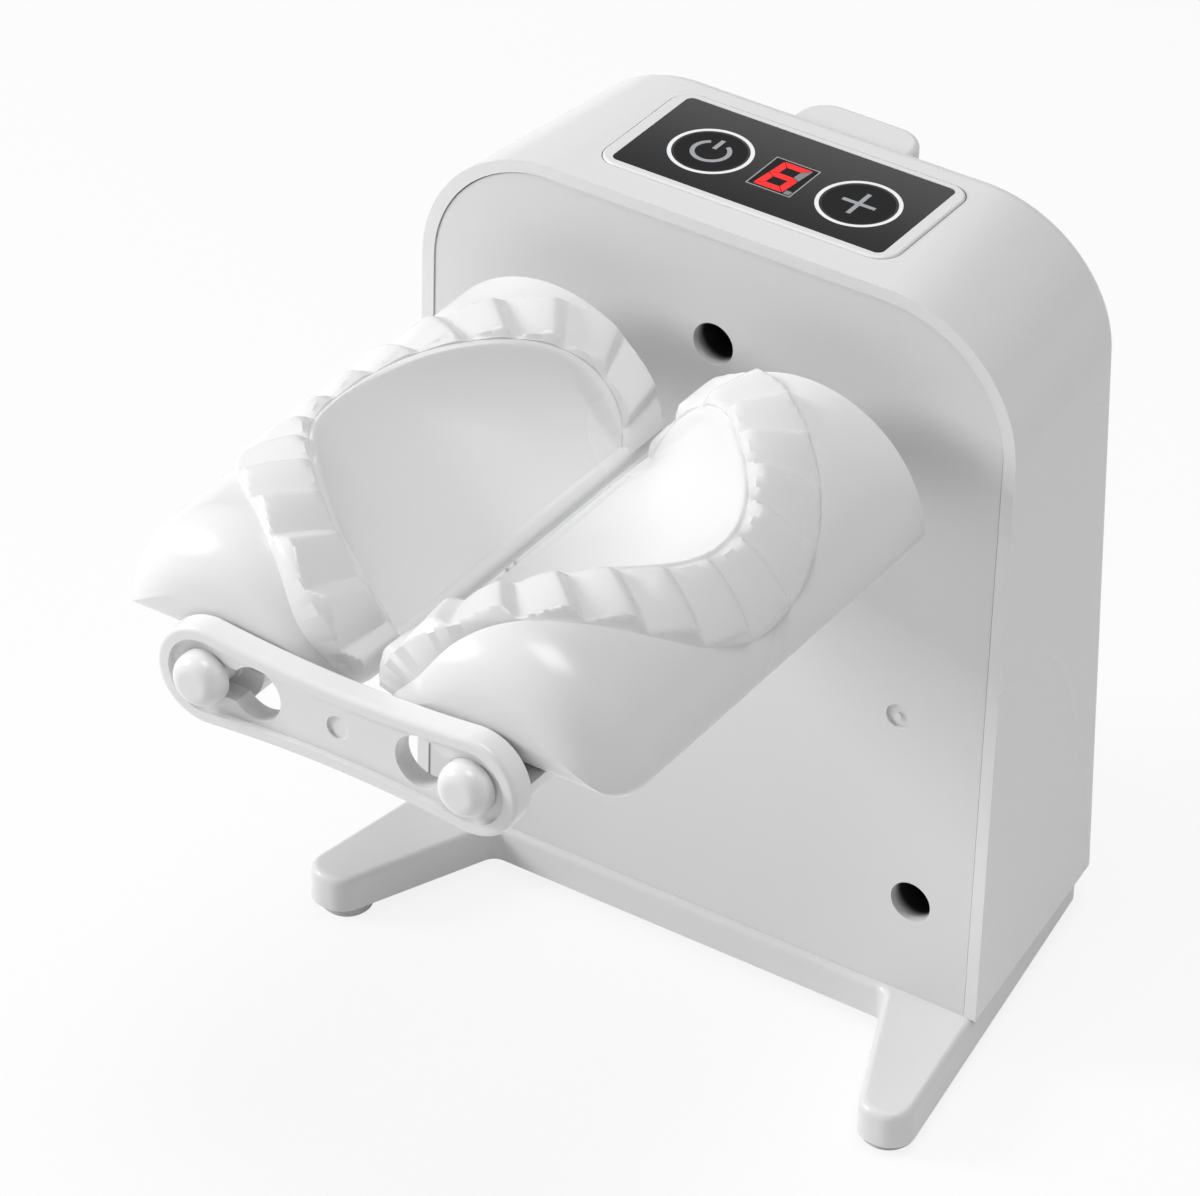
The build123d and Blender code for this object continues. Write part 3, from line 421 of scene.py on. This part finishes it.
# Hub, bore and cover plate on the flat side
HUB_R = 6.5 * MM
HUB_START = 0.8 * MM
BORE_R = 4.15 * MM
BORE_X = math.sqrt(BORE_R ** 2 - FLAT ** 2)
BORE_COLUMNS = 31
BORE_LAP = 0.03 * MM
BORE_END = SHAFT_LOW[1] - 0.5 * MM
COVER_HALF = 15.7 * MM
COVER_START = 13.0 * MM
COVER_LOW = 1.25 * MM
COVER_TOP = 0.5 * MM
COVER_SOFT = 0.25 * MM
COVER_SHRINK = 0.97
HUB_COLUMNS = 40
HUB_BACK_GAP = 0.05 * MM


def smooth(value, low, high):
    """Smooth step from 0 at low to 1 at high."""
    t = np.clip((value - low) / (high - low), 0, 1)
    return t * t * (3 - 2 * t)


def ring_radius(turn, across, along):
    """Radius at a turn of an oval a little fuller on its axes than on its diagonals."""
    oval = across * along / np.hypot(along * np.cos(turn), across * np.sin(turn))
    return oval * (1 - SQUARENESS * np.sin(2 * turn) ** 2)


def section(inset):
    """Half-round section moved inward by inset: big arc, two corner arcs and the flat between them."""
    big = RADIUS - inset
    low = inset - FLAT
    corner = np.maximum(CORNER - inset, CORNER_MIN)
    zc = low + corner
    xc = np.sqrt((big - corner) ** 2 - zc ** 2)
    start = np.arctan2(zc, xc)
    t = np.linspace(0, 1, ARC_COLUMNS)
    turn = start + (math.pi - 2 * start) * t
    arc = np.stack((big * np.cos(turn), big * np.sin(turn)), -1)
    t = np.linspace(0, 1, CORNER_COLUMNS + 1)[1:]
    turn = (math.pi - start) + (math.pi / 2 + start) * t
    left = np.stack((corner * np.cos(turn) - xc, corner * np.sin(turn) + zc), -1)
    t = np.linspace(0, 1, SIDE_COLUMNS + 2)[1:-1]
    left_x = -xc + (xc - BORE_X) * t
    middle_x = np.linspace(-BORE_X, BORE_X, BORE_COLUMNS) + 0 * xc
    flat_x = np.concatenate((left_x, middle_x, -left_x[:, ::-1], xc), 1)
    flat = np.stack((flat_x, low + 0 * flat_x), -1)
    t = np.linspace(0, 1, CORNER_COLUMNS + 1)[1:-1]
    turn = -math.pi / 2 + (math.pi / 2 + start) * t
    right = np.stack((corner * np.cos(turn) + xc, corner * np.sin(turn) + zc), -1)
    return np.concatenate((arc, left, flat, right), 1)


def open_bore(grid, rows):
    """Channel for the shaft along the flat side: its middle columns raised to an arc about the axis."""
    start = ARC_COLUMNS + CORNER_COLUMNS + SIDE_COLUMNS
    dip = math.asin(FLAT / BORE_R)
    turn = np.linspace(math.pi + dip, -dip, BORE_COLUMNS)
    behind = rows > BORE_END
    grid[behind, start:start + BORE_COLUMNS, 0] = BORE_R * np.cos(turn)
    grid[behind, start:start + BORE_COLUMNS, 2] = BORE_R * np.sin(turn)


def bowl_depth(theta, v):
    """How far the bowl lies under the roller's surface: a dish swept about a far axis, lip to band."""
    turn = np.linspace(-math.pi / 2, math.pi / 2, 181)
    rim = ring_radius(turn, BOWL_U, BOWL_V)
    edge = np.interp(v, rim * np.sin(turn), rim * np.cos(turn))
    far = LIP + (RING_U + edge) / RADIUS
    middle = (far + LIP) / 2
    half = (far - LIP) / 2
    reach = np.sqrt(DISH_AXIS ** 2 + RADIUS ** 2 - 2 * DISH_AXIS * RADIUS * np.cos(half))
    off = np.clip(theta - middle, -DISH_REACH * half, DISH_REACH * half)
    inside = np.maximum(reach ** 2 - (DISH_AXIS * np.sin(off)) ** 2, 0)
    surface = DISH_AXIS * np.cos(off) - np.sqrt(inside)
    depth = RADIUS - surface
    depth = np.where(np.abs(theta - middle) > DISH_STOP * half, DISH_SHUT, depth)
    fade = smooth(BOWL_V - np.abs(v), DISH_END_OUT, DISH_END_IN)
    depth = depth * fade - DISH_END_SHUT * (1 - fade)
    return (depth + np.sqrt(depth ** 2 + RIM_SOFT ** 2)) / 2 - RIM_TRIM


def place(points, side):
    """Points about the roller's axis set at their roller, turned over for the left one."""
    return points * (-side, 1, 1) + (side * AXIS_X, 0, AXIS_Z)


def body_grid():
    """Half-drum from the middle of its nose to the rim of its bore, with the bowl pressed in.

    Each row is the section at one depth; on the nose it shrinks along a quarter circle.
    """
    nose = FRONT + NOSE * (1 - np.cos(np.linspace(0, math.pi / 2, NOSE_ROWS)))
    barrel = np.linspace(FRONT + NOSE, BACK, BARREL_ROWS)[1:]
    barrel = np.sort(np.append(barrel, (BORE_END, BORE_END + THIN_STEP)))
    rows = np.concatenate((nose, barrel))
    fade = np.clip((FRONT + NOSE - rows) / NOSE, 0, 1)
    inset = NOSE * (1 - np.sqrt(1 - fade ** 2))
    base = section(inset[:, None])
    x, z = base[..., 0], base[..., 1]
    y = np.repeat(rows[:, None], x.shape[1], 1)
    plain = np.hypot(x, z)
    sunk = np.maximum(bowl_depth(np.arctan2(z, x), y - MIDDLE), 0)
    on_arc = (np.arange(x.shape[1]) < ARC_COLUMNS) & (inset[:, None] < 1e-7)
    scale = np.where(on_arc, 1 - sunk / plain, 1.0)
    grid = np.stack((x * scale, y, z * scale), -1)
    open_bore(grid, rows)
    cap = np.linspace(0, 1, CAP_ROWS)[:-1, None, None]
    front_hub = np.array((0, FRONT, NOSE))
    front_cap = front_hub + (grid[:1] - front_hub) * cap
    rim = grid[-1:] * (1, 0, 1)
    shrink = np.minimum(1, (BORE_R - BORE_LAP) / np.linalg.norm(rim, axis=-1, keepdims=True))
    rim = rim * shrink + (0, BACK, 0)
    back_cap = rim + (grid[-1:] - rim) * cap[::-1]
    return np.concatenate((front_cap, grid, back_cap), 0)


def pleat_shape(phase):
    """Folded-paper profile: a long gentle rise, a narrow flat crest and a short steep fall."""
    t = phase - np.floor(phase)
    climb = np.clip(t / RISE_END, 0, 1)
    slide = np.clip((t - FALL_START) / (1 - FALL_START), 0, 1)
    rise = RISE_ROUND * smooth(t, 0.0, RISE_END) + (1 - RISE_ROUND) * climb
    fall = FALL_ROUND * smooth(t, FALL_START, 1.0) + (1 - FALL_ROUND) * slide
    return rise * (1 - fall)


def band_edge(turn):
    """Outer edge of the band: its oval, cut off straight at the roller's back end."""
    reach = (BACK - MIDDLE - BAND_BACK_GAP) / np.maximum(np.sin(turn), 1e-3)
    return np.minimum(ring_radius(turn, BAND_U, BAND_V), reach)


def band_grid(shift):
    """Pleated band: skirt, inner wall, folded top, sloping outer wall and skirt, from lip to lip.

    Runs around the bowl in t, from inner to outer edge in w, and the folds lift it off the roller.
    """
    t = np.linspace(-1, 1, PLEATS * PLEAT_COLUMNS + 1)
    w, t = np.meshgrid(BAND_ACROSS, t, indexing="ij")
    row = np.repeat(np.arange(len(BAND_ACROSS))[:, None], t.shape[1], 1)
    turn = t * BAND_TURN
    inner = ring_radius(turn, BOWL_U + BAND_INSET, BOWL_V + BAND_INSET)
    outer = band_edge(turn)
    limit = np.arccos(np.clip(-(RING_U + BAND_MEETS_LIP) / (inner + (outer - inner) * w), -1, 1))
    turn = t * limit
    inner = ring_radius(turn, BOWL_U + BAND_INSET, BOWL_V + BAND_INSET)
    outer = band_edge(turn)
    fold = pleat_shape((t + 1) / 2 * PLEATS + shift)
    top = VALLEY + (RIDGE - VALLEY) * fold
    outward = smooth(w, 1.0 - OUTER_SLOPE - OUTER_SPREAD * fold, 1.0)
    inward = smooth(w, INNER_SLOPE + INNER_SLOPE * fold, 0.0)
    rise = top * (1 - outward) * (1 - INNER_DROP * inward)
    last = len(BAND_ACROSS) - 1
    rise = np.where((row == 0) | (row == last) | (np.abs(t) > BAND_END), -SKIRT, rise)
    ring = inner + (outer - inner) * w
    theta = LIP + (RING_U + ring * np.cos(turn)) / RADIUS
    v = ring * np.sin(turn)
    nose = np.clip((FRONT + NOSE - (MIDDLE + v)) / NOSE, 0, 1)
    drop = NOSE * (1 - np.sqrt(1 - nose ** 2))
    radius = RADIUS + rise - np.where((row == 0) | (row >= last - 1), drop, 0)
    return np.stack((radius * np.cos(theta), MIDDLE + v, radius * np.sin(theta)), -1)


def lip_grid():
    """Straight rim along the nip that closes the bowl: a half-round profile that tapers at its ends."""
    v = np.linspace(-1, 1, LIP_ROWS)
    turn = np.linspace(0, math.pi, LIP_COLUMNS)
    v, turn = np.meshgrid(v, turn, indexing="ij")
    fade = np.sqrt(np.clip(1 - np.abs(v) ** LIP_TAPER, 0, 1))
    theta = LIP - LIP_W / 2 + (LIP_W / 2 + LIP_TUCK) * np.cos(turn)
    radius = RADIUS - SKIRT + (SKIRT + LIP_RISE) * np.sqrt(np.sin(turn)) * fade
    return np.stack((radius * np.cos(theta), MIDDLE + v * LIP_REACH, radius * np.sin(theta)), -1)


def mould_roller(hand, side):
    """Half-drum, pleated band and lip as one piece in place of the plain roller."""
    shift = 0.5 if side < 0 else 0.0
    shells = ((body_grid(), True), (band_grid(shift), False), (lip_grid(), False))
    piece = make_piece("mould_roller_" + hand, shells, side, WHITE, "mould_" + hand)
    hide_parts("roller_" + hand)


def prism(profile, near, far):
    """Closed bar: a profile in x and z carried along y, its ends drawn in to its middle line."""
    rows = np.array((near, near, near + COVER_SOFT, far - COVER_SOFT, far, far))
    shrink = np.array((0.0, COVER_SHRINK, 1.0, 1.0, COVER_SHRINK, 0.0))[:, None, None]
    middle = (profile + profile[::-1]) / 2
    flat = middle + (profile - middle) * shrink
    y = np.repeat(rows[:, None], len(profile), 1)
    return np.stack((flat[..., 0], y, flat[..., 1]), -1)


def roller_cover(hand, side):
    """Thin plate let into the flat side, with half a hub that is hollow where the shaft goes in."""
    half = COVER_HALF
    turn = np.linspace(-math.pi, 0, HUB_COLUMNS)
    arc = np.stack((np.cos(turn), np.sin(turn)), -1)
    solid = np.concatenate((HUB_R * arc, (HUB_R * arc * (1, 0))[::-1]))
    hollow = np.concatenate((HUB_R * arc, (BORE_R * arc)[::-1]))
    plate = np.array(((-half, -COVER_TOP), (-half, -COVER_LOW + COVER_SOFT),
                      (-half + COVER_SOFT, -COVER_LOW), (half - COVER_SOFT, -COVER_LOW),
                      (half, -COVER_LOW + COVER_SOFT), (half, -COVER_TOP)))
    shells = ((prism(plate, FRONT + COVER_START, BACK - COVER_SOFT), True),
              (prism(solid, FRONT + HUB_START, BORE_END), True),
              (prism(hollow, BORE_END, BACK - HUB_BACK_GAP), True))
    piece = make_piece("mould_cover_" + hand, shells, side, WHITE, "mould_" + hand)
    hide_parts("roller_cover_" + hand)


for hand, side in (("left", -1), ("right", 1)):
    mould_roller(hand, side)
    roller_cover(hand, side)


# Touch panel

GLASS_LOW, GLASS_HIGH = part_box("touch_glass")
GLASS_MID = (GLASS_LOW[1] + GLASS_HIGH[1]) / 2
PRINT_Z = GLASS_HIGH[2]
ARC_POINTS = 48
POINT_HALF = 0.42
POINT_OUT = 0.35
POINT_UP = 0.3
KEY_SPOTS = {"left": -11.8 * MM, "right": 13.0 * MM}
KEY_AHEAD = 0.7 * MM
KEY_R = 6.3 * MM
KEY_LINE = 0.6 * MM
DISC_R = 5.3 * MM
INK_T = 0.02 * MM
GLYPH_R = 2.7 * MM
GLYPH_LINE = 0.7 * MM
DIGIT_W = 4.8 * MM
DIGIT_H = 7.4 * MM
DIGIT_LEAN = 0.10
SEGMENT = 1.2 * MM
SEGMENT_GAP = 0.10 * MM
WINDOW_W = 7.4 * MM
WINDOW_D = 8.6 * MM
WINDOW_LINE = 0.2 * MM
DIGIT_X = 0.4 * MM


def printed_path(name, outlines, centre, material, layer=1.0):
    """Thin raised film from closed outlines, later ones cut from the first."""
    curve = bpy.data.curves.new(name, "CURVE")
    curve.dimensions = "2D"
    curve.fill_mode = "BOTH"
    curve.extrude = INK_T * layer / 2
    for outline in outlines:
        spline = curve.splines.new("POLY")
        spline.points.add(len(outline) - 1)
        flat = [value for x, y in outline for value in (x + centre[0], y + centre[1], 0, 1)]
        spline.points.foreach_set("co", flat)
        spline.use_cyclic_u = True
    shape = bpy.data.objects.new(name + "_curve", curve)
    bpy.context.scene.collection.objects.link(shape)
    bpy.context.view_layer.update()
    mesh = bpy.data.meshes.new_from_object(shape)
    bpy.data.objects.remove(shape)
    mesh.transform(Matrix.Translation((0, 0, PRINT_Z + INK_T * layer / 2)))
    mesh.name = name
    mesh.materials.clear()
    mesh.materials.append(material)
    piece = bpy.data.objects.new(name, mesh)
    bpy.context.scene.collection.objects.link(piece)
    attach(piece, "housing")
    "display" if material in (LIT, UNLIT, DARK) else "panel_plastic"


def arc_path(radius, start, sweep, count, closed):
    """Points on a circle over part or all of a turn."""
    turn = start + np.linspace(0, sweep, count, endpoint=not closed)
    return [(radius * math.cos(t), radius * math.sin(t)) for t in turn]


def circle(radius):
    """Whole circle."""
    return arc_path(radius, 0.0, 2 * math.pi, 2 * ARC_POINTS, True)


def arc_band(radius, width, start, sweep):
    """Bent bar between two radii over part of a turn."""
    outer = arc_path(radius + width / 2, start, sweep, ARC_POINTS, False)
    inner = arc_path(radius - width / 2, start, sweep, ARC_POINTS, False)
    return outer + inner[::-1]


def box_path(half_w, half_h, x=0.0, y=0.0):
    """Plain rectangle about a point."""
    corners = ((-1, -1), (1, -1), (1, 1), (-1, 1))
    return [(x + i * half_w, y + j * half_h) for i, j in corners]


def key(hand, glyph):
    """Printed touch key: white ring, smoked disc and a plain sign in soft grey."""
    centre = (KEY_SPOTS[hand], GLASS_MID - KEY_AHEAD)
    name = hand + "_key"
    printed_path(name + "_ring", [circle(KEY_R), circle(KEY_R - KEY_LINE)], centre, INK_WITH_PAINTED_GLOW)
    printed_path(name + "_disc", [circle(DISC_R)], centre, DARK)
    for i, outline in enumerate(glyph):
        printed_path("%s_sign_%d" % (name, i), [outline], centre, GREY_INK, 2.0)


def segments():
    """Outlines of the seven bars: outer edges long, inner edges short, so their ends are mitred."""
    w, h, s, g = DIGIT_W / 2, DIGIT_H / 2, SEGMENT, SEGMENT_GAP
    top = [(-w + g, h), (w - g, h), (w - s - g, h - s), (-w + s + g, h - s)]
    upper = [(-w, h - g), (-w + s, h - s - g), (-w + s, s / 2 + g), (-w, g)]
    middle = [(-w + g, 0), (-w + s + g, s / 2), (w - s - g, s / 2), (w - g, 0),
              (w - s - g, -s / 2), (-w + s + g, -s / 2)]

    def turned(outline, x, y):
        return [(x * px, y * py) for px, py in outline]

    return {"top": top, "bottom": turned(top, 1, -1), "middle": middle, "upper_left": upper,
            "lower_left": turned(upper, 1, -1), "upper_right": turned(upper, -1, 1),
            "lower_right": turned(upper, -1, -1)}


def digit():
    """Seven-segment figure six with its point, in a darker window with a fine grey edge."""
    centre = (DIGIT_X, GLASS_MID - KEY_AHEAD)
    half_w, half_d = WINDOW_W / 2, WINDOW_D / 2
    pane = box_path(half_w - WINDOW_LINE, half_d - WINDOW_LINE)
    printed_path("digit_edge", [box_path(half_w, half_d), pane], centre, GREY_INK)
    printed_path("digit_window", [pane], centre, DARK, 0.5)
    for name, outline in segments().items():
        slanted = [(x + DIGIT_LEAN * y, y) for x, y in outline]
        printed_path("digit_" + name, [slanted], centre, UNLIT if name == "upper_right" else LIT)
    point = box_path(SEGMENT * POINT_HALF, SEGMENT * POINT_HALF,
                     DIGIT_W / 2 + SEGMENT * POINT_OUT, -DIGIT_H / 2 + SEGMENT * POINT_UP)
    printed_path("digit_point", [point], centre, UNLIT)


power = [arc_band(GLYPH_R, GLYPH_LINE, math.radians(122), math.radians(296)),
         box_path(GLYPH_LINE / 2, GLYPH_R / 2, 0, GLYPH_R * 0.8)]
plus = [box_path(GLYPH_R, GLYPH_LINE / 2),
        box_path(GLYPH_LINE / 2, GLYPH_R / 2, 0, GLYPH_R / 2 + GLYPH_LINE / 2),
        box_path(GLYPH_LINE / 2, GLYPH_R / 2, 0, -GLYPH_R / 2 - GLYPH_LINE / 2)]
key("left", power)
key("right", plus)
digit()


# Stage and light

def flat_finish(name, level, share):
    """Pale matt surface that camera, gloss and glass rays see mostly as white, its shadow kept."""
    finish = Finish(name, Roughness=0.9)
    cloud = finish.noise(3.0, 2.0)
    finish.feed("Base Color", finish.mix(cloud, rgb(level * 0.995), rgb(level)))
    seen = sum((finish.start.node("ShaderNodeLightPath", None, i) for i in (3, 6)),
               finish.start.node("ShaderNodeLightPath", None, 0)).clamp() * share
    glow = finish.start.node("ShaderNodeEmission", None, 0, Color=rgb(1.0), Strength=1.0)
    matt = Wave(finish.tree, finish.shader.outputs[0])
    both = matt.node("ShaderNodeMixShader", None, 0, i0=seen, i1=matt, i2=glow)
    output = next(node for node in finish.tree.nodes if node.type == "OUTPUT_MATERIAL")
    finish.tree.links.new(both.socket, output.inputs["Surface"])
    return finish.material


FLOOR_HALF = 6.0
FLOOR_LEVEL = 0.9
FLOOR_WHITE = 0.85


def floor():
    """Wide plain floor."""
    corners = ((-1, -1, 0), (1, -1, 0), (1, 1, 0), (-1, 1, 0))
    points = FLOOR_HALF * np.array(corners)
    mesh = bpy.data.meshes.new("floor")
    mesh.from_pydata(points.tolist(), [], [(0, 1, 2, 3)])
    ground = bpy.data.objects.new("floor", mesh)
    bpy.context.scene.collection.objects.link(ground)
    mesh.materials.append(flat_finish("pale_floor", FLOOR_LEVEL, FLOOR_WHITE))


def lamp(name, spot, aim, size, power):
    """Square soft light at a place, turned to a point."""
    data = bpy.data.lights.new(name, "AREA")
    data.size = size
    data.energy = power
    light = bpy.data.objects.new(name, data)
    light.location = spot
    light.rotation_euler = (Vector(aim) - Vector(spot)).to_track_quat("-Z", "Y").to_euler()
    bpy.context.scene.collection.objects.link(light)


def world(level):
    """Even light from all around."""
    sky = bpy.data.worlds.new("studio")
    bpy.context.scene.world = sky
    sky.use_nodes = True
    back = sky.node_tree.nodes["Background"]
    back.inputs["Color"].default_value = (1, 1, 1, 1)
    back.inputs["Strength"].default_value = level


SKY_LEVEL = 0.26
AIM = (0, 0, 0.07)
KEY_LAMP = (-1.05, -0.55, 0.55)
KEY_SIZE = 0.4
KEY_POWER = 11.0
TOP_LAMP = (0.15, -0.10, 1.35)
TOP_SIZE = 0.6
TOP_POWER = 8.3

floor()
world(SKY_LEVEL)
lamp("key", KEY_LAMP, AIM, KEY_SIZE, KEY_POWER)
lamp("overhead", TOP_LAMP, AIM, TOP_SIZE, TOP_POWER)
